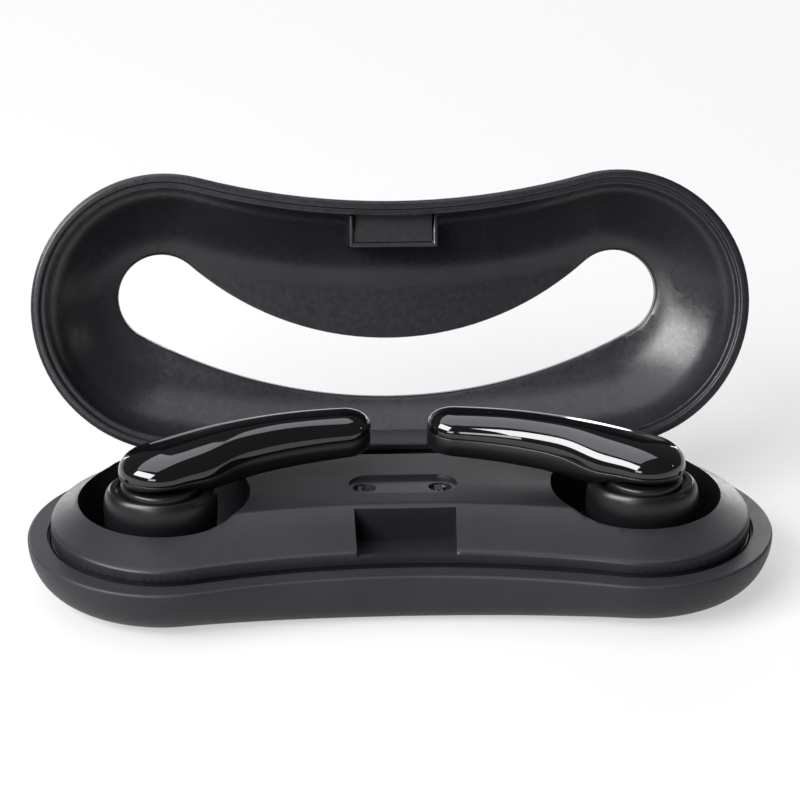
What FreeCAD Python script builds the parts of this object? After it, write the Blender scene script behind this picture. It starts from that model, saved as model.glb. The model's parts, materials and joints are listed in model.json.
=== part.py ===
import FreeCAD
import Part
import math
import os
from FreeCAD import Vector as V

# Wireless earbuds case.  Millimetres, +Z up, +Y towards the hinge.
# Origin: centre of the flat underside.  The lid is drawn standing open.

doc = FreeCAD.newDocument("EarbudsCase")

# ---------------------------------------------------------------- sizes
sheet = doc.addObject("Spreadsheet::Sheet", "Sizes")
SIZES = [
    ("half_width", 50.0), ("lobe_front", 18.44), ("lobe_back", 20.12),
    ("arc_back", 179.1), ("arc_front", 105.3),
    ("flange_z", 7.5), ("base_wall", 1.6), ("floor_top", 1.2),
    ("deck_inset", 3.0), ("deck_top", 4.4),
    ("lid_gap", 0.25), ("lid_open", 110.0), ("eject_x", 42.45), ("eject_y", -2.86), ("eject_radius", 2.2),
    ("hinge_inset", 3.0), ("hinge_rise", 2.5), ("pin_radius", 0.75), ("pin_length", 40.6),
    ("smile_lobe", 6.1), ("smile_x", 32.2), ("smile_y", -0.9),
    ("smile_back", 73.0), ("smile_front", 42.5),
    ("well_x", 31.8), ("well_y", 2.9), ("well_radius", 11.55), ("well_floor", 2.9),
    ("bud_x", 32.2), ("bud_y", -0.7), ("path_radius", 56.0), ("path_y", -46.6),
    ("seam_outer", 16.75), ("seam_inner", 17.85),
    ("bay_half", 24.6), ("bay_front", 13.5), ("bay_floor", 5.75),
    ("cell_long", 26.0), ("cell_wide", 13.0), ("cell_thick", 5.0),
    ("board_long", 30.0), ("board_wide", 18.0), ("board_thick", 0.8),
    ("magnet_long", 9.0), ("magnet_wide", 3.0), ("magnet_thick", 1.4),
    ("cover_long", 10.9), ("cover_wide", 4.1), ("cover_thick", 0.65),
    ("plunger_radius", 0.5), ("plunger_length", 1.4), ("collar_radius", 0.9), ("collar_length", 0.25),
    ("ring_radius", 5.25), ("ring_bore", 3.85), ("ring_height", 1.5), ("ring_round", 0.45),
    ("grille_radius", 3.05), ("grille_height", 1.65), ("driver_radius", 4.5), ("driver_height", 2.7),
    ("bud_magnet_radius", 2.4), ("bud_magnet_height", 1.3), ("bud_cell_radius", 1.3),
    ("bud_cell_length", 9.0), ("bud_board_long", 6.5), ("bud_board_wide", 2.0), ("bud_board_thick", 0.6),
]
for row, (alias, value) in enumerate(SIZES, start=1):
    sheet.set("A%d" % row, alias)
    sheet.set("B%d" % row, "%g" % value)
    sheet.setAlias("B%d" % row, alias)
doc.recompute()
S = {alias: float(sheet.get(alias)) for alias, _ in SIZES}

HW = S["half_width"]
RF = S["lobe_front"]
RB = S["lobe_back"]
AB = S["arc_back"]
AF = S["arc_front"]
FZ = S["flange_z"]
Z1 = V(0, 0, 1)
CX_F = HW - RF
CX_B = HW - RB
CY_B = -math.sqrt((AB - RB) ** 2 - CX_B ** 2)
BACK_Y = CY_B + AB
HINGE_Y = BACK_Y - S["hinge_inset"]
HINGE_Z = FZ + S["hinge_rise"]
LEFT_RIGHT = (("l", -1), ("r", 1))


# ---------------------------------------------------------------- helpers
def polar(cx, cy, r, a):
    return V(cx + r * math.cos(a), cy + r * math.sin(a), 0)


def arc_between(cx, cy, r, a0, a1):
    return Part.Arc(polar(cx, cy, r, a0), polar(cx, cy, r, 0.5 * (a0 + a1)), polar(cx, cy, r, a1))


def outline(inset, z, shift=0.0, tilt=0.0, dip=None):
    """Bean outline, moved inwards by inset: six tangent arcs.

    dip is how far the middle of the front stands back from the two lobes.
    """
    reach = AF + RF if dip is None else (CX_F ** 2 + dip ** 2) / (2 * dip)
    cy = -math.sqrt(reach ** 2 - CX_F ** 2)
    front = reach - RF + inset
    f = math.atan2(cy, -CX_F) + 2 * math.pi
    b = math.atan2(-CY_B, CX_B)
    arcs = [
        arc_between(0, cy, front, math.pi / 2, f - math.pi),
        arc_between(CX_F, 0, RF - inset, f, 2 * math.pi),
        arc_between(CX_B, 0, RB - inset, 0, b),
        arc_between(0, CY_B, AB - inset, b, math.pi - b),
        arc_between(-CX_B, 0, RB - inset, math.pi - b, math.pi),
        arc_between(-CX_F, 0, RF - inset, math.pi, 3 * math.pi - f),
        arc_between(0, cy, front, 2 * math.pi - f, math.pi / 2),
    ]
    wire = Part.Wire([a.toShape() for a in arcs])
    if tilt:
        wire.rotate(V(0, 0, 0), V(1, 0, 0), tilt)
    wire.translate(V(0, shift, z))
    return wire


def prism(wire, height):
    return Part.Face(wire).extrude(V(0, 0, height))


def loft(wires, ruled=False):
    return Part.makeLoft(wires, True, ruled)


def bean(z0, z1, inset):
    return prism(outline(inset, z0), z1 - z0)


def box(x0, x1, y0, y1, z0, z1):
    return Part.makeBox(x1 - x0, y1 - y0, z1 - z0, V(x0, y0, z0))


def cyl(r, x, y, z0, z1):
    return Part.makeCylinder(r, z1 - z0, V(x, y, z0), Z1)


def obround(half_long, r, x, y, z0, z1):
    body = box(x - half_long, x + half_long, y - r, y + r, z0, z1)
    return body.fuse([cyl(r, x - half_long, y, z0, z1), cyl(r, x + half_long, y, z0, z1)]).removeSplitter()


def mirror_x(shape):
    return shape.mirror(V(0, 0, 0), V(1, 0, 0))


def put(name, shape, placement=None):
    """A finished sub-part whose shape comes from the lofts and cuts above."""
    obj = doc.addObject("Part::Feature", name)
    obj.Label = name
    obj.Shape = shape
    if placement is not None:
        obj.Placement = placement
    NODES.append(obj)
    return obj


def bind(obj, **links):
    """Tie properties to cells of the size sheet."""
    for prop, expr in links.items():
        obj.setExpression(prop, expr)
    return obj


def rod(name, radius, height, at, turn=None):
    """Part::Cylinder whose radius and height come from the sheet."""
    obj = doc.addObject("Part::Cylinder", name)
    bind(obj, Radius="Sizes." + radius, Height="Sizes." + height)
    obj.Placement = FreeCAD.Placement(at, turn or FreeCAD.Rotation())
    return obj


def block(name, length, width, height, at, turn=None):
    """Part::Box whose three sizes come from the sheet."""
    obj = doc.addObject("Part::Box", name)
    bind(obj, Length="Sizes." + length, Width="Sizes." + width, Height="Sizes." + height)
    obj.Placement = FreeCAD.Placement(at, turn or FreeCAD.Rotation())
    return obj


def node(obj, name):
    obj.Label = name
    NODES.append(obj)
    return obj


NODES = []

# ---------------------------------------------------------------- base shell
# Height, inset, and how far the middle of the front stands back.
BASE_SECTIONS = (
    (0.0, 6.9, 0.9), (0.35, 5.2, 1.4), (1.2, 3.1, 2.3), (2.6, 1.5, 3.1),
    (4.3, 0.55, 3.75), (6.0, 0.08, 4.05), (FZ - 0.35, 0.0, 4.1),
)
# Rounded rim shared by the base and the lid: distance from the rim plane, inset.
RIM = ((0.35, 0.0), (0.2, 0.05), (0.08, 0.16), (0.0, 0.34))


def base_outer():
    side = loft([outline(i, z, dip=d) for z, i, d in BASE_SECTIONS])
    return side.fuse(loft([outline(i, FZ - h, dip=4.1) for h, i in RIM], True))


def base_inner():
    wall = S["base_wall"]
    low = S["floor_top"]
    rows = ((low, 7.0, 2.0), (1.7, 5.4, 2.4), (2.6, 2.0 + wall, 3.0), (4.3, 0.6 + wall, 3.7))
    rows += ((FZ - 1.4, 0.1 + wall, 4.05),)
    return loft([outline(i, z, dip=d) for z, i, d in rows])


base = base_outer().cut(base_inner())
base = base.cut(bean(FZ - 1.5, FZ + 1, S["deck_inset"] - 0.05))
base = base.cut(bean(FZ - 0.6, FZ + 1, S["deck_inset"] - 0.4))
bay_cut = box(-S["bay_half"], S["bay_half"], S["bay_front"], BACK_Y + 3, S["bay_floor"], FZ + 2)
base = base.cut(bay_cut)
base = base.cut(box(-29.5, 29.5, 16.5, BACK_Y + 3, FZ - 0.4, FZ + 2))
socket_mouth = obround(2.95, 1.72, 0, 0, 0, 12)
socket_mouth.rotate(V(0, 0, 0), V(1, 0, 0), -90)
socket_mouth.translate(V(0, 16.0, 3.45))
base = base.cut(socket_mouth)
put("base_shell", base)

# ---------------------------------------------------------------- deck insert
DT = FZ + S["deck_top"]
# Skin of the deck, bottom to top: height above the flange, inset, shift towards the hinge, tilt.
ROOF = (
    (-3.0, 3.15, 0.0, 0.0), (1.8, 3.15, 0.0, 1.6), (2.0, 3.18, 0.03, 1.58), (2.16, 3.27, 0.08, 1.54),
    (2.27, 3.42, 0.18, 1.5), (2.35, 3.62, 0.35, 1.45), (2.74, 4.8, 1.31, 1.15), (3.17, 5.99, 2.28, 0.8),
    (3.56, 6.93, 3.04, 0.5), (3.97, 7.78, 3.74, 0.2), (4.28, 8.2, 4.1, 0.05), (4.37, 8.42, 4.2, 0.0),
    (4.4, 8.9, 4.2, 0.0),
)


def roof():
    """Deck skin: low band in front, sloping shoulder, flat top that reaches the back."""
    return loft([outline(i, FZ + h, y, a) for h, i, y, a in ROOF], True)


deck = bean(FZ - 1.3, DT + 1, S["deck_inset"]).common(roof())
groove = bean(FZ - 0.6, FZ + 0.3, S["deck_inset"] - 0.1).cut(bean(FZ - 1, FZ + 1, S["deck_inset"] + 0.4))
under = loft([outline(4.8, FZ - 2), outline(4.9, FZ + 1.2), outline(9.3, DT - 1.5, 3.4)], True)
deck = deck.cut(under)
cups = []
wells = []
for side, sx in LEFT_RIGHT:
    x = sx * S["well_x"]
    cups.append(cyl(S["well_radius"] + 1.0, x, S["well_y"], S["well_floor"] - 0.9, DT))
    wells.append(cyl(S["well_radius"], x, S["well_y"], S["well_floor"], DT + 2))
cup_zone = loft([outline(6.9, 1.9), outline(5.0, 3.0), outline(3.6, 5.0), outline(3.1, FZ + 0.1)], True)
cup_zone = cup_zone.fuse(bean(FZ, DT + 1, S["deck_inset"]).common(roof()))
for cup in cups:
    deck = deck.fuse(cup.common(cup_zone))
tray = box(-26.0, 26.0, S["bay_front"] - 1.2, BACK_Y, S["bay_floor"] - 0.6, DT)
tray = tray.common(bean(0, DT, 3.3).common(roof()))
deck = deck.fuse(tray)
recess_block = box(-7.6, 8.4, -14.0, -1.4, FZ - 1.7, DT).common(bean(0, DT, 3.0)).common(roof())
deck = deck.fuse(recess_block)
for well in wells:
    deck = deck.cut(well)
deck = deck.cut(box(-S["bay_half"], S["bay_half"], S["bay_front"], BACK_Y + 3, S["bay_floor"], DT + 2))
deck = deck.cut(box(-34.5, 34.5, 16.5, BACK_Y + 3, FZ, DT + 2))
RECESS_Z = FZ - 0.6
corners = ((-6.6, -2.6), (7.0, -2.6), (6.2, -16.0), (-6.6, -16.0), (-6.6, -2.6))
recess = Part.makePolygon([V(x, y, 0) for x, y in corners])
recess.translate(V(0, 0, RECESS_Z))
deck = deck.cut(prism(recess, 9.0).common(bean(RECESS_Z, DT + 2, 4.05)))
recess.translate(V(0, 0, FZ + 1.4 - RECESS_Z))
deck = deck.cut(prism(recess, 9.0))
MARK_Y = 3.4
dish = obround(4.6, 2.75, 0.35, 0.0, 0.0, 3.0)
dish.rotate(V(0, -2.75, 0), V(1, 0, 0), -5.0)
dish.translate(V(0, MARK_Y + 0.75, DT - 0.02))
deck = deck.cut(dish)
for x in (-4.9, 5.3):
    deck = deck.cut(cyl(1.6, x, MARK_Y, DT - 0.85, DT + 1))
for side, sx in LEFT_RIGHT:
    for off in (-2.2, 2.2):
        deck = deck.cut(cyl(0.75, sx * S["bud_x"] + off, S["bud_y"] + 3.2, 1.0, 4.0))
ears = []
for sx in (-1, 1):
    ear = box(-1.5, 1.5, HINGE_Y - 1.9, HINGE_Y + 0.9, S["bay_floor"], HINGE_Z)
    eye = Part.makeCylinder(1.9, 3.0, V(-1.5, HINGE_Y, HINGE_Z), V(1, 0, 0))
    ear = ear.fuse(eye)
    ear.translate(V(sx * 18.9, 0, 0))
    ears.append(ear)
deck = deck.fuse(ears)
bore = Part.makeCylinder(S["pin_radius"], 60, V(-30, HINGE_Y, HINGE_Z), V(1, 0, 0))
deck = deck.cut(bore).cut(groove).removeSplitter()
put("deck_insert", deck)

# ---------------------------------------------------------------- side marks
mark_z = DT - 0.85
mark_l = box(-5.75, -5.25, MARK_Y - 1.0, MARK_Y + 1.0, mark_z, mark_z + 0.45)
mark_l = mark_l.fuse(box(-5.75, -4.2, MARK_Y - 1.0, MARK_Y - 0.55, mark_z, mark_z + 0.45)).removeSplitter()
mark_r = box(4.6, 5.05, MARK_Y - 1.0, MARK_Y + 1.0, mark_z, mark_z + 0.45)
bowl = cyl(0.6, 5.45, MARK_Y + 0.4, mark_z, mark_z + 0.45).cut(cyl(0.22, 5.45, MARK_Y + 0.4, 0, 20))
bowl = bowl.fuse(box(4.8, 5.45, MARK_Y + 0.6, MARK_Y + 1.0, mark_z, mark_z + 0.45))
leg = box(5.1, 5.55, MARK_Y - 1.0, MARK_Y, mark_z, mark_z + 0.45)
leg.rotate(V(5.3, MARK_Y - 0.2, 0), Z1, 22)
mark_r = mark_r.fuse([bowl, leg]).removeSplitter()
put("side_marks", Part.makeCompound([mark_l, mark_r]))

# ---------------------------------------------------------------- hinge pin
ALONG_X = FreeCAD.Rotation(V(0, 1, 0), 90)
pin_start = V(-S["pin_length"] / 2, HINGE_Y, HINGE_Z)
node(rod("HingePin", "pin_radius", "pin_length", pin_start, ALONG_X), "hinge_pin")

# ---------------------------------------------------------------- lid
LID_SECTIONS = (
    (0.35, 0.0), (2.2, 0.12), (4.6, 0.8), (6.9, 2.2), (8.9, 4.2), (10.5, 6.8), (11.7, 9.9), (12.4, 13.2),
)


def lid_outer():
    z0 = FZ + S["lid_gap"]
    rim = loft([outline(i, z0 + h) for h, i in reversed(RIM)], True)
    return loft([outline(i, z0 + z) for z, i in LID_SECTIONS]).fuse(rim)


def lid_inner(grow=0.0):
    """Hollow of the lid, moved outwards into the plastic by grow."""
    z0 = FZ + S["lid_gap"]
    rows = (
        (-1.0, 1.95), (1.0, 2.0), (3.2, 2.35), (5.2, 3.6), (6.9, 5.5),
        (8.3, 7.4), (9.2, 9.0), (9.7, 10.4), (10.05, 12.0), (10.3, 13.6),
    )
    return loft([outline(i - grow, z0 + z + grow) for z, i in rows])


def smile(z0, z1):
    """Smile-shaped opening: two lobes, a long back arc and a tighter front arc."""
    r = S["smile_lobe"]
    lx = S["smile_x"]
    ly = S["smile_y"]
    rb = S["smile_back"]
    rf = S["smile_front"]
    cb = ly - math.sqrt((rb - r) ** 2 - lx ** 2)
    cf = ly - math.sqrt((rf + r) ** 2 - lx ** 2)
    b = math.atan2(ly - cb, lx)
    f = math.atan2(ly - cf, lx)
    arcs = [
        arc_between(0, cb, rb, b, math.pi - b),
        arc_between(-lx, ly, r, math.pi - b, 2 * math.pi - f),
        arc_between(0, cf, rf, math.pi - f, f),
        arc_between(lx, ly, r, f - math.pi, b),
    ]
    wire = Part.Wire([a.toShape() for a in arcs])
    wire.translate(V(0, 0, z0))
    return prism(wire, z1 - z0)


lid = lid_outer().cut(lid_inner())
lid = lid.cut(bean(FZ - 1, FZ + S["lid_gap"] + 0.7, 1.15))
lid = lid.cut(smile(FZ + 5, FZ + 16))
for sx in (-1, 1):
    lid = lid.cut(box(sx * 18.9 - 2.1, sx * 18.9 + 2.1, HINGE_Y - 6, BACK_Y + 3, FZ - 1, HINGE_Z + 3.2))
boss_zone = box(-5.9, 6.5, -13.6, -7.9, FZ + 2.2, FZ + 14)
boss = boss_zone.common(lid_outer())
lid = lid.fuse(boss)
lid = lid.cut(box(-5.2, 5.8, -12.8, -8.6, FZ + 1.0, FZ + 3.3))
lid = lid.cut(box(-4.2, 4.8, -12.2, -9.2, FZ + 3.2, FZ + 4.75)).removeSplitter()
# Round marks left by the ejector pins in each end.
for sx in (-1, 1):
    face_way = V(sx * 0.63, -0.16, 0.76)
    mark_at = V(sx * S["eject_x"], S["eject_y"], FZ + 8.57) - face_way * 1.5
    mark = Part.makeCylinder(S["eject_radius"], 3.0, mark_at, face_way)
    lid = lid.cut(mark.common(lid_inner(0.04)))
SWUNG = FreeCAD.Rotation(V(1, 0, 0), -S["lid_open"])
OPEN = FreeCAD.Placement(V(0, 0, 0), SWUNG, V(0, HINGE_Y, HINGE_Z))


def swing(shape):
    out = shape.copy()
    out.rotate(V(0, HINGE_Y, HINGE_Z), V(1, 0, 0), -S["lid_open"])
    return out


lid = lid.cut(Part.makeCylinder(S["pin_radius"] + 0.06, 60, V(-30, HINGE_Y, HINGE_Z), V(1, 0, 0)))
leaf = box(-16.4, 16.4, HINGE_Y - 2.5, HINGE_Y + 2.3, HINGE_Z + 0.7, HINGE_Z + 1.6)
long_edges = [e for e in leaf.Edges if e.BoundBox.XLength > 30 and e.BoundBox.ZMax > HINGE_Z + 1.5]
leaf = leaf.makeFillet(0.3, long_edges)
barrel = Part.makeCylinder(1.55, 32.8, V(-16.4, HINGE_Y, HINGE_Z), V(1, 0, 0))
bar = barrel.fuse(leaf)
bar = bar.cut(Part.makeCylinder(S["pin_radius"] + 0.05, 60, V(-30, HINGE_Y, HINGE_Z), V(1, 0, 0)))
lid = swing(lid)
put("lid_shell", lid)
put("hinge_bar", bar.cut(lid).removeSplitter())
magnet_at = OPEN.multVec(V(-4.2, -12.2, FZ + 3.3))
cover_at = OPEN.multVec(V(-5.15, -12.75, FZ + 2.6))
node(block("LidMagnet", "magnet_long", "magnet_wide", "magnet_thick", magnet_at, SWUNG), "lid_magnet")
node(block("MagnetCover", "cover_long", "cover_wide", "cover_thick", cover_at, SWUNG), "magnet_cover")

# ---------------------------------------------------------------- inside the case
node(block("CaseCell", "cell_long", "cell_wide", "cell_thick", V(-13.0, -1.2, 4.4)), "case_cell")
node(block("CaseBoard", "board_long", "board_wide", "board_thick", V(-15.0, -5.6, 3.2)), "case_board")
latch_at = V(-4.2, -10.6, FZ - 3.2)
node(block("LatchMagnet", "magnet_long", "magnet_wide", "magnet_thick", latch_at), "latch_magnet")
socket = obround(2.86, 1.61, 0, 0, 0, 7.2)
socket = socket.cut(obround(2.6, 1.3, 0, 0, 1.2, 8))
tongue = box(-3.3, 3.3, -0.35, 0.35, 0.9, 6.3)
socket = socket.fuse(tongue).removeSplitter()
socket.rotate(V(0, 0, 0), V(1, 0, 0), -90)
socket.translate(V(0, 12.95, 3.45))
put("charging_socket", socket)

# Spring charging pins: a round-ended plunger with a collar that keeps it under the well floor.
for side, sx in LEFT_RIGHT:
    for num, off in ((1, -2.2), (2, 2.2)):
        tag = "%s%d" % (side, num)
        foot = V(sx * S["bud_x"] + off, S["bud_y"] + 3.2, 1.65)
        plunger = rod("Plunger" + tag, "plunger_radius", "plunger_length", foot)
        collar = rod("Collar" + tag, "collar_radius", "collar_length", foot)
        nose = bind(doc.addObject("Part::Sphere", "Nose" + tag), Radius="Sizes.plunger_radius")
        nose.Placement.Base = foot + V(0, 0, S["plunger_length"])
        pogo = doc.addObject("Part::MultiFuse", "Pogo" + tag)
        pogo.Shapes = [plunger, collar, nose]
        node(pogo, "charge_pin_" + tag)

# ---------------------------------------------------------------- earbuds
# The left one is drawn, the right one is its mirror image.
PR = S["path_radius"]
A0 = math.asin(36.5 / PR)
A1 = math.asin(3.8 / PR)
LONG = PR * (A0 - A1)
STEPS = (0.06, 0.35, 1.0, 2.1, 3.6, 5.6, 8.5, 12.0, 16.5, 21.5, 26.0, 29.5, 31.6, 33.0, 33.9, 34.4, 34.62)


def swell(d):
    """Where the nose blends into the stem the front is wider and the seam dips."""
    return math.exp(-((d - 11.0) / 4.5) ** 2)


def half_section(d, half_w, height, zs, up):
    """Half of a rounded stem section with a flat face on the seam."""
    a = A0 - d / PR
    p = V(-PR * math.sin(a), S["path_y"] + PR * math.cos(a), 0)
    side = V(-math.sin(a), math.cos(a), 0)
    pts = []
    for k in range(13):
        t = math.pi * k / 12
        c = math.cos(t)
        w = half_w * math.copysign(abs(c) ** 0.85, c)
        if c < 0:
            w *= 1 + 0.8 * swell(d) / 4.5
        h = up * height * max(0.0, math.sin(t)) ** 0.85
        pts.append(p + side * w + V(0, 0, zs + h))
    curve = Part.BSplineCurve()
    curve.interpolate(pts)
    return Part.Wire([curve.toShape(), Part.makeLine(pts[-1], pts[0])])


def ramp(d, points):
    """Straight-line value at d through (distance, value) points."""
    for (d0, v0), (d1, v1) in zip(points, points[1:]):
        if d <= d1:
            return v0 + (v1 - v0) * max(0.0, d - d0) / (d1 - d0)
    return points[-1][1]


def stem_half(up):
    wires = []
    for step in STEPS:
        d = step * LONG / 34.7
        half_w = ramp(d, ((0, 5.2), (5, 5.1), (10, 4.55), (16, 4.0), (24, 3.65), (35, 3.5)))
        tall = ramp(d, ((0, 2.9), (6, 3.3), (14, 3.5), (24, 3.2), (35, 2.6))) + 0.45 * swell(d)
        deep = ramp(d, ((0, 1.45), (5.2, 1.6), (8.5, 2.6), (12, 3.6), (16, 4.0), (24, 3.8), (35, 3.5)))
        k = 1.0
        if d < 5.2:
            k = math.sqrt(1 - (1 - d / 5.2) ** 2)
        if LONG - d < 3.6:
            k = math.sqrt(1 - (1 - (LONG - d) / 3.6) ** 2)
        seam = S["seam_outer"] + (S["seam_inner"] - S["seam_outer"]) * d / LONG - 0.45 * swell(d)
        height = tall * k ** 0.7 if up > 0 else deep * k ** 0.35
        wires.append(half_section(d, half_w * k, height, seam + 0.04 * up, up))
    return loft(wires)


def along(x):
    """Point on the stem centre line at a given distance from the middle of the case."""
    return V(-x, S["path_y"] + math.sqrt(PR ** 2 - x ** 2), 0)


BX = -S["bud_x"]
BY = S["bud_y"]
RING_Z = FZ + 6.3


def oval(a, b, z):
    """Oval round the bud centre, a along the case and b across it."""
    e = Part.Ellipse(V(BX, BY, z), a, b)
    return Part.Wire([e.toShape()])


stem_top = stem_half(1)
stem_low = stem_half(-1)
ring_out = cyl(PR + 1.6, 0, S["path_y"], 15.5, 19.0)
ring_in = cyl(PR - 1.6, 0, S["path_y"], 15.4, 19.1)
room = box(-27.0, -7.5, -6, 14, 15.5, 19.0).common(ring_out.cut(ring_in))
lens_at = along(12.2)
lens = cyl(0.3, lens_at.x, lens_at.y, 19.1, 30)
lens_piece = lens.common(stem_top)
stem_top = stem_top.cut(room).cut(lens)
stem_low = stem_low.cut(room)
stem_low = stem_low.cut(cyl(5.3, BX, BY - 0.1, 10, RING_Z + 1.45))
stem_low = stem_low.cut(loft([oval(7.75, 6.5, 10), oval(7.7, 6.45, 13.0), oval(6.9, 5.95, 14.45)]))
neck = cyl(3.8, BX, BY - 0.1, RING_Z - 1.0, 16.2)
stem_low = stem_low.fuse(neck).removeSplitter()

# Housing of the speaker, outside and inside: height, half length, half width.
SHELL = (
    (3.6, 5.6, 5.2), (4.3, 6.35, 5.7), (6.0, 7.0, 6.05), (8.5, 7.4, 6.25), (11.0, 7.55, 6.35),
    (13.0, 7.45, 6.28), (13.9, 7.1, 6.05), (14.35, 6.55, 5.78),
)
CAVITY = (
    (4.7, 5.4, 4.75), (6.4, 6.0, 5.1), (8.5, 6.4, 5.3), (11.0, 6.55, 5.4), (12.2, 6.3, 5.2), (12.7, 5.7, 4.8),
)
housing = loft([oval(a, b, z) for z, a, b in SHELL])
housing = housing.cut(loft([oval(a, b, z) for z, a, b in CAVITY]))
housing = housing.cut(loft([oval(5.75, 5.36, RING_Z - 0.1), oval(6.1, 5.5, RING_Z + 1)]))
housing = housing.cut(cyl(3.85, BX, BY - 0.1, 12.0, 15.0))
housing = housing.cut(cyl(3.1, BX, BY - 1.7, 3.0, 5.0))
pads = []
for off in (-2.2, 2.2):
    housing = housing.cut(cyl(0.8, BX + off, BY + 3.2, 3.0, 5.0))
    pads.append(cyl(0.78, BX + off, BY + 3.2, 3.6, 4.6))
parts = [
    ("stem_cover", stem_top), ("stem_shell", stem_low), ("housing", housing),
    ("status_lens", lens_piece), ("charge_pads", Part.makeCompound(pads)),
]
for side, sx in LEFT_RIGHT:
    for name, shape in parts:
        put("%s_%s" % (name, side), mirror_x(shape) if sx > 0 else shape)

for side, sx in LEFT_RIGHT:
    tag = "_" + side
    x = sx * S["bud_x"]
    ring_at = V(x, BY - 0.1, RING_Z - 0.1)
    body = rod("RingBody" + tag, "ring_radius", "ring_height", ring_at)
    hole = rod("RingBore" + tag, "ring_bore", "ring_height", ring_at)
    ring = doc.addObject("Part::Cut", "Ring" + tag)
    ring.Base = body
    ring.Tool = hole
    doc.recompute()
    around = 2 * math.pi * S["ring_radius"]
    rims = [i for i, e in enumerate(ring.Shape.Edges, 1)
            if abs(e.Length - around) < 0.01 and e.BoundBox.ZMin > RING_Z + 1]
    smooth = doc.addObject("Part::Fillet", "RingRound" + tag)
    smooth.Base = ring
    smooth.Edges = [(i, S["ring_round"], S["ring_round"]) for i in rims]
    node(smooth, "neck_ring" + tag)
    node(rod("Grille" + tag, "grille_radius", "grille_height", V(x, BY - 1.7, 2.95)), "grille" + tag)
    node(rod("Driver" + tag, "driver_radius", "driver_height", V(x, BY, 5.9)), "driver" + tag)
    magnet = rod("BudMagnet" + tag, "bud_magnet_radius", "bud_magnet_height", V(x, BY, 8.9))
    node(magnet, "bud_magnet" + tag)
    # Cell and board lie along the stem; both start at their left end.
    cell_turn = FreeCAD.Rotation(Z1, -sx * 22.5)
    cell_at = V(sx * 25.2, along(25.2).y, 17.0)
    board_turn = FreeCAD.Rotation(Z1, -sx * 12.5)
    board_at = V(sx * 15.6, along(15.6).y, 16.6)
    if sx > 0:
        cell_at -= cell_turn.multVec(V(S["bud_cell_length"], 0, 0))
        board_at -= board_turn.multVec(V(S["bud_board_long"], 0, 0))
    cell = rod("BudCell" + tag, "bud_cell_radius", "bud_cell_length", cell_at, cell_turn * ALONG_X)
    node(cell, "bud_cell" + tag)
    board_at += board_turn.multVec(V(0, -S["bud_board_wide"] / 2, 0))
    sizes = ("bud_board_long", "bud_board_wide", "bud_board_thick")
    board = block("BudBoard" + tag, *sizes, board_at, board_turn)
    node(board, "bud_board" + tag)

# ---------------------------------------------------------------- checks and files
doc.recompute()
os.makedirs("parts", exist_ok=True)
for obj in NODES:
    bad = [s for s in obj.State if s in ("Invalid", "Error")]
    if bad or obj.Shape.isNull() or not obj.Shape.isValid():
        raise RuntimeError("%s is not a sound shape" % obj.Label)
for obj in NODES:
    obj.Shape.exportStep("parts/%s.step" % obj.Label)
    b = obj.Shape.BoundBox
    print("%-18s solids %d vol %8.1f  x %.2f %.2f  y %.2f %.2f  z %.2f %.2f" % (
        obj.Label, len(obj.Shape.Solids), obj.Shape.Volume, b.XMin, b.XMax, b.YMin, b.YMax, b.ZMin, b.ZMax))
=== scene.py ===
import json
import math

import bmesh
import bpy
from mathutils import Matrix, Vector

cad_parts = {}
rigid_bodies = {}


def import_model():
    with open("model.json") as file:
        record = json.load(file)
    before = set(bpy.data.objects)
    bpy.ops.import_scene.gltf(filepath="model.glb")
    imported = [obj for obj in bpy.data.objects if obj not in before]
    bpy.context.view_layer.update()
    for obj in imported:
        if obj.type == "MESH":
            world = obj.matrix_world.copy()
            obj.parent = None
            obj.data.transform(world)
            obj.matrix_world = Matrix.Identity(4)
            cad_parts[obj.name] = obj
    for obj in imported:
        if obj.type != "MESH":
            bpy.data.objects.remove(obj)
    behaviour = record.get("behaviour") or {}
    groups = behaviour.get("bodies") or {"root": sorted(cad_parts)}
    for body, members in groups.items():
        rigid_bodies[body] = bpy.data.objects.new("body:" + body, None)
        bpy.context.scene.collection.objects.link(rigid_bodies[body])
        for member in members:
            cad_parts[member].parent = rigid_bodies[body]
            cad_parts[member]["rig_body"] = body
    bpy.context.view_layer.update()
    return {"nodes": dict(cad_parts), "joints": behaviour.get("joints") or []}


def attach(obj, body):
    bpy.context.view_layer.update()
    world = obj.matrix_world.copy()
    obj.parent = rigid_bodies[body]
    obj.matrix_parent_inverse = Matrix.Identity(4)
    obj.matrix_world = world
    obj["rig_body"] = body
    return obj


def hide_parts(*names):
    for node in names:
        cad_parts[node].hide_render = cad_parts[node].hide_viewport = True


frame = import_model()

# Wireless earbuds case, standing open.  Metres, same frame as the CAD: +X right, +Y back, +Z up.
scene = bpy.context.scene
MM = 0.001
NODES = frame["nodes"]


# ---------------------------------------------------------------- camera
LENS_MM, SENSOR_MM = 130.23, 36.0
EYE_DISTANCE = 0.381
YAW, PITCH, ROLL = (math.radians(a) for a in (3.93, 24.42, 0.82))
LOOK_AT = Vector((-0.00051, 0.0, 0.02619))


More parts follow.
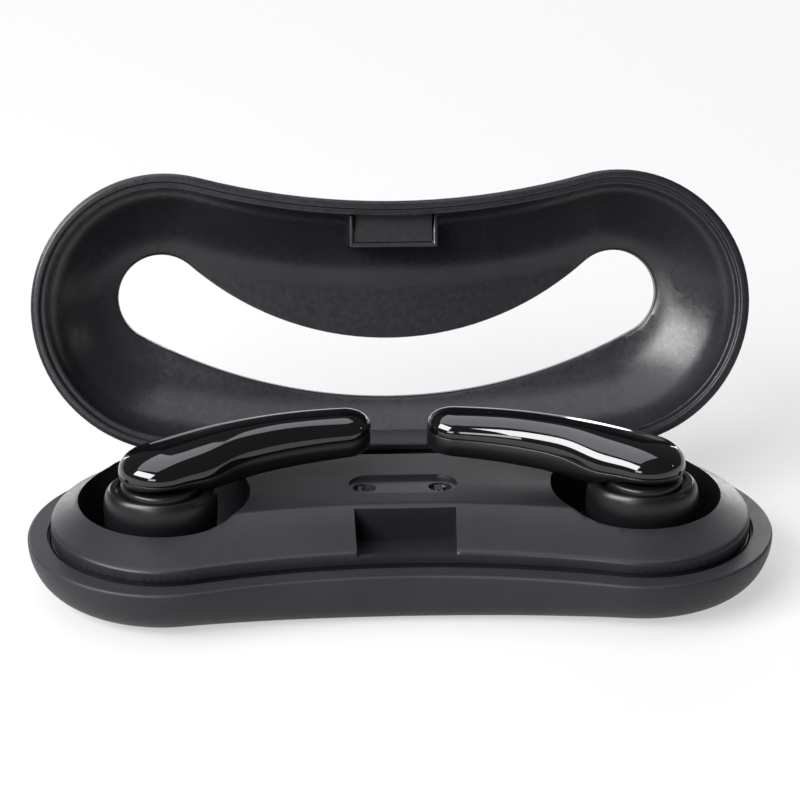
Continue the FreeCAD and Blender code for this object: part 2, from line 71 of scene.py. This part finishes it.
def studio_camera():
    """A long lens, almost straight in front and looking down by PITCH."""
    level = Vector((math.cos(YAW), -math.sin(YAW), 0))
    look = Vector((math.sin(YAW) * math.cos(PITCH), math.cos(YAW) * math.cos(PITCH), -math.sin(PITCH)))
    upright = level.cross(look)
    right = math.cos(ROLL) * level + math.sin(ROLL) * upright
    up = math.cos(ROLL) * upright - math.sin(ROLL) * level
    data = bpy.data.cameras.new("camera")
    data.lens, data.sensor_width = LENS_MM, SENSOR_MM
    data.clip_start, data.clip_end = 0.01, 20.0
    camera = bpy.data.objects.new("camera", data)
    turn = Matrix((right, up, -look)).transposed().to_4x4()
    camera.matrix_world = Matrix.Translation(LOOK_AT - look * EYE_DISTANCE) @ turn
    scene.collection.objects.link(camera)
    scene.camera = camera


studio_camera()


# ---------------------------------------------------------------- materials
class Graph:
    """A small helper round one material's node tree."""

    def __init__(self, name):
        self.material = bpy.data.materials.new(name)
        self.material.use_nodes = True
        self.tree = self.material.node_tree
        self.tree.nodes.clear()
        out = self.add("ShaderNodeOutputMaterial")
        self.shader = self.add("ShaderNodeBsdfPrincipled")
        self.join(self.shader.outputs["BSDF"], out.inputs["Surface"])
        self.place = self.add("ShaderNodeTexCoord").outputs["Object"]

    def add(self, kind, **settings):
        made = self.tree.nodes.new(kind)
        for key, value in settings.items():
            setattr(made, key, value)
        return made

    def join(self, a, b):
        self.tree.links.new(a, b)

    def noise(self, size, detail=2.0, rough=0.5):
        """Noise whose blobs are about size metres across."""
        made = self.add("ShaderNodeTexNoise")
        made.inputs["Scale"].default_value = 1.0 / size
        made.inputs["Detail"].default_value = detail
        made.inputs["Roughness"].default_value = rough
        self.join(self.place, made.inputs["Vector"])
        return made.outputs["Fac"]

    def spread(self, value, low, high, out_low, out_high):
        """Maps low..high to out_low..out_high."""
        made = self.add("ShaderNodeMapRange")
        for key, number in zip(("From Min", "From Max", "To Min", "To Max"), (low, high, out_low, out_high)):
            made.inputs[key].default_value = number
        self.join(value, made.inputs["Value"])
        return made.outputs["Result"]

    def tint(self, value, dark, light):
        """Colour between dark (value 0) and light (value 1)."""
        made = self.add("ShaderNodeMix", data_type="RGBA")
        made.inputs["A"].default_value = (*dark, 1)
        made.inputs["B"].default_value = (*light, 1)
        self.join(value, made.inputs["Factor"])
        return made.outputs["Result"]

    def bump(self, height, depth, normal=None):
        """Bumps depth metres high, on top of an earlier bump if one is given."""
        made = self.add("ShaderNodeBump")
        made.inputs["Strength"].default_value = 1.0
        made.inputs["Distance"].default_value = depth
        self.join(height, made.inputs["Height"])
        if normal is not None:
            self.join(normal, made.inputs["Normal"])
        return made.outputs["Normal"]

    def set(self, **values):
        """Constants on the shader's own sockets."""
        for key, value in values.items():
            self.shader.inputs[key.replace("_", " ")].default_value = value

    def feed(self, socket, name):
        self.join(socket, self.shader.inputs[name])


def moulded(name, dark, light, rough, grain=0.22 * MM, depth=0.010 * MM, specular=0.32):
    """Matt moulded plastic with a fine spark texture."""
    g = Graph(name)
    cloud = g.spread(g.noise(9 * MM, 3.0), 0.3, 0.7, 0, 1)
    g.feed(g.tint(cloud, dark, light), "Base Color")
    fine = g.noise(grain, 2.0, 0.6)
    g.feed(g.spread(g.noise(0.7 * MM, 3.0), 0.3, 0.7, rough - 0.04, rough + 0.05), "Roughness")
    broad = g.bump(g.noise(3.5 * MM, 2.0), 0.02 * MM)
    g.feed(g.bump(fine, depth, broad), "Normal")
    g.set(Specular_IOR_Level=specular)
    return g.material


def glossy(name, color, rough, wave, coat=0.0, specular=0.5):
    """Polished or satin plastic, uneven by about wave metres."""
    g = Graph(name)
    cloud = g.spread(g.noise(6 * MM, 2.0), 0.35, 0.65, 0, 1)
    g.feed(g.tint(cloud, [0.85 * c for c in color], color), "Base Color")
    g.feed(g.spread(g.noise(5 * MM, 1.0), 0.35, 0.75, rough, rough * 1.15), "Roughness")
    g.feed(g.bump(g.noise(6 * MM, 1.0), wave), "Normal")
    g.set(Coat_Weight=coat, Coat_Roughness=0.03, Specular_IOR_Level=specular)
    return g.material


def metal(name, color, rough):
    """Bare or plated metal with a faint mottle."""
    g = Graph(name)
    cloud = g.spread(g.noise(0.8 * MM, 3.0), 0.3, 0.7, 0, 1)
    g.feed(g.tint(cloud, [0.8 * c for c in color], color), "Base Color")
    g.feed(g.spread(g.noise(0.3 * MM, 3.0), 0.3, 0.7, rough * 0.8, rough * 1.25), "Roughness")
    g.feed(g.bump(g.noise(0.05 * MM, 2.0), 0.001 * MM), "Normal")
    g.set(Metallic=1.0)
    return g.material


FINISH = {
    "case_shell": moulded("case_shell", (0.0100, 0.0099, 0.0125), (0.0138, 0.0137, 0.0170), 0.50),
    "deck": moulded("deck", (0.0072, 0.0072, 0.0092), (0.0100, 0.0100, 0.0126), 0.40),
    "lid": moulded("lid", (0.0080, 0.0080, 0.0102), (0.0112, 0.0112, 0.0142), 0.30,
                   grain=0.28 * MM, depth=0.014 * MM, specular=0.45),
    "gloss": glossy("gloss", (0.0022, 0.0022, 0.0026), 0.035, 0.002 * MM, coat=0.3),
    "satin": glossy("satin", (0.0045, 0.0045, 0.0055), 0.30, 0.0, specular=0.36),
    "mesh": metal("mesh", (0.12, 0.12, 0.13), 0.45),
    "steel": metal("steel", (0.55, 0.55, 0.57), 0.3),
    "socket": metal("socket", (0.5, 0.5, 0.52), 0.28),
    "magnet": metal("magnet", (0.6, 0.6, 0.6), 0.22),
    "gold": metal("gold", (0.83, 0.58, 0.25), 0.25),
    "cell": metal("cell", (0.32, 0.34, 0.38), 0.4),
    "board": glossy("board", (0.01, 0.09, 0.04), 0.35, 0.004 * MM),
    "lens": glossy("lens", (0.035, 0.002, 0.003), 0.08, 0.001 * MM, coat=0.5),
}


def slot_of(node):
    """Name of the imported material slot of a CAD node."""
    return NODES[node].material_slots[0].material.name.split(".")[0]


for node, thing in NODES.items():
    thing.material_slots[0].material = FINISH[slot_of(node)]


# ---------------------------------------------------------------- rounded copies of CAD nodes
def publish(name, mesh, node):
    """A finished mesh that stands for one CAD node: it rides on the node's body and takes its finish."""
    piece = bpy.data.objects.new(name, mesh)
    scene.collection.objects.link(piece)
    mesh.materials.clear()
    mesh.materials.append(FINISH[slot_of(node)])
    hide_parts(node)
    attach(piece, NODES[node]["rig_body"])
    return piece


# Width of the rounding on each node's edges, in millimetres
ROUNDING = {
    "base_shell": 0.15, "deck_insert": 0.22, "lid_shell": 0.3, "hinge_bar": 0.12, "magnet_cover": 0.06,
    "housing_l": 0.12, "housing_r": 0.12, "neck_ring_l": 0.08, "neck_ring_r": 0.08, "charging_socket": 0.08,
    "side_marks": 0.05,
}
# Edges that turn by more than this many degrees are rounded.  The lid has blunter ones than the rest.
SHARP, LID_SHARP = 32, 18

LID_HINGE = next(joint for joint in frame["joints"] if joint["name"] == "lid_hinge")
_, HINGE_Y, HINGE_Z = LID_HINGE["pos_m"]
# The wall of the hinge bore past the pin: within this reach of its axis, and this far from the middle.
BORE_REACH = 0.83 * MM
BORE_FROM, BORE_TO = 20.5 * MM, 30.01 * MM
# Middles of the lid's two ejector marks, whose shallow edges aren't rounded.
MARKS = [Vector((side * 42.45, 33.46, 29.37)) * MM for side in (-1, 1)]
MARK_REACH = 3 * MM


def close_bore_ends(bm):
    """Shuts the holes where the hinge bore, which runs on past its pin, breaks out of the lid's back."""
    wall = [f for f in bm.faces if all(
        BORE_FROM < abs(v.co.x) < BORE_TO
        and math.hypot(v.co.y - HINGE_Y, v.co.z - HINGE_Z) < BORE_REACH for v in f.verts)]
    bmesh.ops.delete(bm, geom=wall, context="FACES")
    bmesh.ops.holes_fill(bm, edges=[e for e in bm.edges if e.is_boundary])


def sharp_edges(bm, degrees):
    """Edges that turn by more than this angle, but for those of the ejector marks."""
    edges = [e for e in bm.edges if e.is_manifold and e.calc_face_angle(0) > math.radians(degrees)]
    return [e for e in edges if min((e.verts[0].co - mark).length for mark in MARKS) > MARK_REACH]


def refined(node, width):
    """The CAD node with its sharp edges rounded off and its faces shaded smoothly."""
    is_lid = node == "lid_shell"
    bm = bmesh.new()
    bm.from_mesh(NODES[node].data)
    bmesh.ops.remove_doubles(bm, verts=bm.verts, dist=0.002 * MM)
    if is_lid:
        close_bore_ends(bm)
    bmesh.ops.dissolve_limit(bm, angle_limit=math.radians(0.05), verts=bm.verts, edges=bm.edges)
    edges = sharp_edges(bm, LID_SHARP if is_lid else SHARP)
    # Clamping holds every rounding down to what the shortest edge allows, so the lid goes without.
    bmesh.ops.bevel(bm, geom=edges, offset=width, offset_type="OFFSET", segments=2, profile=0.5,
                    affect="EDGES", clamp_overlap=not is_lid)
    mesh = bpy.data.meshes.new(node + "_fine")
    bm.to_mesh(mesh)
    bm.free()
    if "custom_normal" in mesh.attributes:
        mesh.attributes.remove(mesh.attributes["custom_normal"])
    mesh.shade_smooth()
    mesh.set_sharp_from_angle(angle=math.radians(40))
    piece = publish(node + "_fine", mesh, node)
    weigh = piece.modifiers.new("weighted", "WEIGHTED_NORMAL")
    weigh.keep_sharp = True
    weigh.weight = 80


for node, width in ROUNDING.items():
    refined(node, width * MM)


# ---------------------------------------------------------------- earbud stems
# A stem is a curved rounded bar, split lengthwise by a seam into a glossy cover above and a shell below.
# Sizes are in millimetres.  The bar's middle line is an arc about (0, PATH_Y), from the nose over the well to
# the tail near the middle of the case.
PATH_R, PATH_Y = 56.0, -46.6
NOSE_X, TAIL_X = 36.5, 3.8
START = math.asin(NOSE_X / PATH_R)
LENGTH = PATH_R * (START - math.asin(TAIL_X / PATH_R))
NOSE_ROUND, TAIL_ROUND = 5.2, 3.6
SEAM_Z, SEAM_RISE, SEAM_GAP = 16.75, 1.1, 0.04

# Powers: the smaller BOXY is, the boxier the sections, and the smaller the others, the blunter the two ends.
BOXY, COVER_END, SHELL_END = 0.85, 0.7, 0.35
# Rounding of the edges at the seam, kept under this share of the half width
COVER_EDGE, SHELL_EDGE, EDGE_SHARE = 0.14, 0.12, 0.3

# About SWELL_AT from the nose the seam dips, and the bar swells on the hollow side of its curve.
SWELL_AT, SWELL_SPREAD = 11.0, 4.5
DIP, BULGE = 0.45, 0.8 / 4.5

# (distance from the nose, size) along the stem
HALF_WIDTH = ((0, 5.2), (5, 5.1), (10, 4.55), (16, 4.0), (24, 3.65), (35, 3.5))
COVER_HEIGHT = ((0, 2.9), (6, 3.3), (14, 3.5), (24, 3.2), (35, 2.6))
SHELL_DEPTH = ((0, 1.45), (5.2, 1.6), (8.5, 2.6), (12, 3.6), (16, 4.0), (24, 3.8), (35, 3.5))
# The shell's top edge stands in from the cover's by STEP, over the height REACH.
STEP = ((0, 0.04), (10, 0.08), (20, 0.26), (35, 0.36))
REACH = ((0, 0.6), (12, 0.8), (20, 1.4), (35, 1.9))

# Angles of the points round half a section, closest together at the seam.
QUARTER = [0, 0.4, 1.0, 2.2, 4, 7, 11, 16, 22, 29, 37, 46, 55, 64, 73, 82]
HALF_TURN = [math.radians(t) for t in QUARTER + [90] + [180 - t for t in QUARTER[::-1]]]


def ramp(distance, points):
    """Value at this distance on straight lines through the (distance, value) points."""
    for (d0, v0), (d1, v1) in zip(points, points[1:]):
        if distance <= d1:
            t = max(0.0, distance - d0) / (d1 - d0)
            return v0 + (v1 - v0) * t
    return points[-1][1]


def smooth_ramp(distance, points):
    """The same, averaged over 3 mm so that it has no corners."""
    near = (min(max(distance + s, 0.0), LENGTH) for s in (-1.5, -0.75, 0.0, 0.75, 1.5))
    return sum(ramp(d, points) for d in near) / 5


def stations():
    """Distances along the stem, each with its share of full size: dense round both ends."""
    turns = [math.pi / 2 * k / 16 for k in range(1, 16)]
    nose = [(NOSE_ROUND * (1 - math.cos(a)), math.sin(a)) for a in turns]
    middle = [(NOSE_ROUND + (LENGTH - NOSE_ROUND - TAIL_ROUND) * k / 60, 1.0) for k in range(61)]
    tail = [(LENGTH - TAIL_ROUND * (1 - math.cos(a)), math.sin(a)) for a in turns]
    return nose + middle + tail[::-1]


def edge_inset(height, radius, step, reach):
    """How far the side stands in at this height from the seam: a rounded edge, then the step."""
    rounded = radius - math.sqrt(max(0.0, radius ** 2 - (radius - height) ** 2)) if height < radius else 0.0
    return rounded + step * max(0.0, 1 - height / reach) ** 2


def half_stem(side, up):
    """Vertices and faces of the cover (up = 1) or the shell (up = -1)."""
    verts, rings = [], []

    def point(angle, out, z):
        """Adds the point at this angle along the path, out from it and z high; returns its number."""
        radius = PATH_R + out
        verts.append((side * math.sin(angle) * radius * MM, (PATH_Y + math.cos(angle) * radius) * MM, z * MM))
        return len(verts) - 1

    for distance, share in stations():
        angle = START - distance / PATH_R
        swell = math.exp(-((distance - SWELL_AT) / SWELL_SPREAD) ** 2)
        seam = SEAM_Z + SEAM_RISE * distance / LENGTH - DIP * swell + SEAM_GAP * up
        wide = share * smooth_ramp(distance, HALF_WIDTH)
        if up > 0:
            tall = (smooth_ramp(distance, COVER_HEIGHT) + DIP * swell) * share ** COVER_END
            edge, step, reach = COVER_EDGE, 0.0, 1.0
        else:
            tall = smooth_ramp(distance, SHELL_DEPTH) * share ** SHELL_END
            edge, step, reach = SHELL_EDGE, share * ramp(distance, STEP), ramp(distance, REACH)
        edge = min(edge, EDGE_SHARE * wide)
        ring = []
        for turn in HALF_TURN:
            across = math.cos(turn)
            height = tall * math.sin(turn) ** BOXY if 0 < turn < math.pi else 0.0
            out = wide * math.copysign(abs(across) ** BOXY, across)
            out -= math.copysign(min(edge_inset(height, edge, step, reach), abs(out)), out)
            if across < 0:
                out *= 1 + BULGE * swell
            ring.append(point(angle, out, seam + up * height))
        # Back across the flat side that lies along the seam
        ring += [point(angle, wide * across, seam) for across in (-0.6, 0.0, 0.6)]
        rings.append(ring)
    first = point(START, 0.0, SEAM_Z + SEAM_GAP * up)
    last = point(START - LENGTH / PATH_R, 0.0, SEAM_Z + SEAM_RISE + SEAM_GAP * up)
    count = len(rings[0])
    around = [(i, (i + 1) % count) for i in range(count)]
    faces = [(r0[i], r0[j], r1[j], r1[i]) for r0, r1 in zip(rings, rings[1:]) for i, j in around]
    faces += [(first, rings[0][j], rings[0][i]) for i, j in around]
    faces += [(last, rings[-1][i], rings[-1][j]) for i, j in around]
    return verts, faces


def stem(node, side, up):
    """Puts one half of a stem in the place of its CAD node."""
    verts, faces = half_stem(side, up)
    mesh = bpy.data.meshes.new(node + "_fine")
    mesh.from_pydata(verts, [], faces)
    bm = bmesh.new()
    bm.from_mesh(mesh)
    bmesh.ops.recalc_face_normals(bm, faces=bm.faces)
    bm.to_mesh(mesh)
    bm.free()
    mesh.shade_smooth()
    publish(node + "_fine", mesh, node)


for tag, side in (("l", -1), ("r", 1)):
    stem("stem_cover_" + tag, side, 1)
    stem("stem_shell_" + tag, side, -1)


# ---------------------------------------------------------------- floor, backdrop, light (metres again)
FLOOR_TONE, FLOOR_GLOW, SKY_GLOW = 0.24, 0.52, 0.12
FLOOR_FROM, FLOOR_HALF_WIDTH = -2.0, 2.5
BEND_FROM, BEND_RADIUS = 0.7, 0.3
AIM = Vector((0, 0, 0.02))


def paper(name):
    """Pale matt paper with a slight glow of its own, which keeps shadows soft."""
    g = Graph(name)
    tone = (FLOOR_TONE,) * 3
    g.feed(g.tint(g.noise(0.4, 2.0), [0.98 * c for c in tone], tone), "Base Color")
    g.set(Roughness=0.9, Specular_IOR_Level=0.1, Emission_Color=(1, 1, 1, 1), Emission_Strength=FLOOR_GLOW)
    return g.material


def sweep():
    """Pale floor that turns up into a low backdrop behind the case."""
    profile = [(FLOOR_FROM, 0.0), (BEND_FROM, 0.0)]
    for k in range(1, 13):
        a = math.pi / 2 * k / 12
        profile.append((BEND_FROM + BEND_RADIUS * math.sin(a), BEND_RADIUS - BEND_RADIUS * math.cos(a)))
    verts = [(x, y, z) for y, z in profile for x in (-FLOOR_HALF_WIDTH, FLOOR_HALF_WIDTH)]
    faces = [(2 * k, 2 * k + 1, 2 * k + 3, 2 * k + 2) for k in range(len(profile) - 1)]
    mesh = bpy.data.meshes.new("backdrop")
    mesh.from_pydata(verts, [], faces)
    mesh.shade_smooth()
    mesh.materials.append(paper("backdrop"))
    backdrop = bpy.data.objects.new("backdrop", mesh)
    scene.collection.objects.link(backdrop)


def softbox(name, azimuth, elevation, distance, width, height, glow, color=(1, 1, 1)):
    """Rectangular light of an even glow, aimed at the case.  Azimuth runs from +Y towards +X."""
    az, el = math.radians(azimuth), math.radians(elevation)
    away = Vector((math.sin(az) * math.cos(el), math.cos(az) * math.cos(el), math.sin(el)))
    data = bpy.data.lights.new(name, "AREA")
    data.shape, data.size, data.size_y = "RECTANGLE", width, height
    data.energy, data.color = glow * math.pi * width * height, color
    light = bpy.data.objects.new(name, data)
    light.location = AIM + away * distance
    light.rotation_euler = (-away).to_track_quat("-Z", "Y").to_euler()
    scene.collection.objects.link(light)


sweep()
softbox("overhead", -48, 78, 0.9, 0.95, 0.80, 2.7, (0.91, 0.92, 1.0))
softbox("key", -128, 37, 0.8, 0.70, 0.42, 17.0)
softbox("low", -158, 13, 0.8, 0.26, 0.14, 8.0)
softbox("side", 98, 21, 0.8, 0.04, 0.04, 20.0)
softbox("rim_right", 21, 11, 0.9, 0.34, 0.28, 9.0)
softbox("rim_left", -21, 11, 0.9, 0.34, 0.28, 6.0)

world = bpy.data.worlds.new("studio")
scene.world = world
world.use_nodes = True
background = world.node_tree.nodes["Background"]
background.inputs["Color"].default_value = (1, 1, 1, 1)
background.inputs["Strength"].default_value = SKY_GLOW
scene.view_settings.view_transform = "Standard"
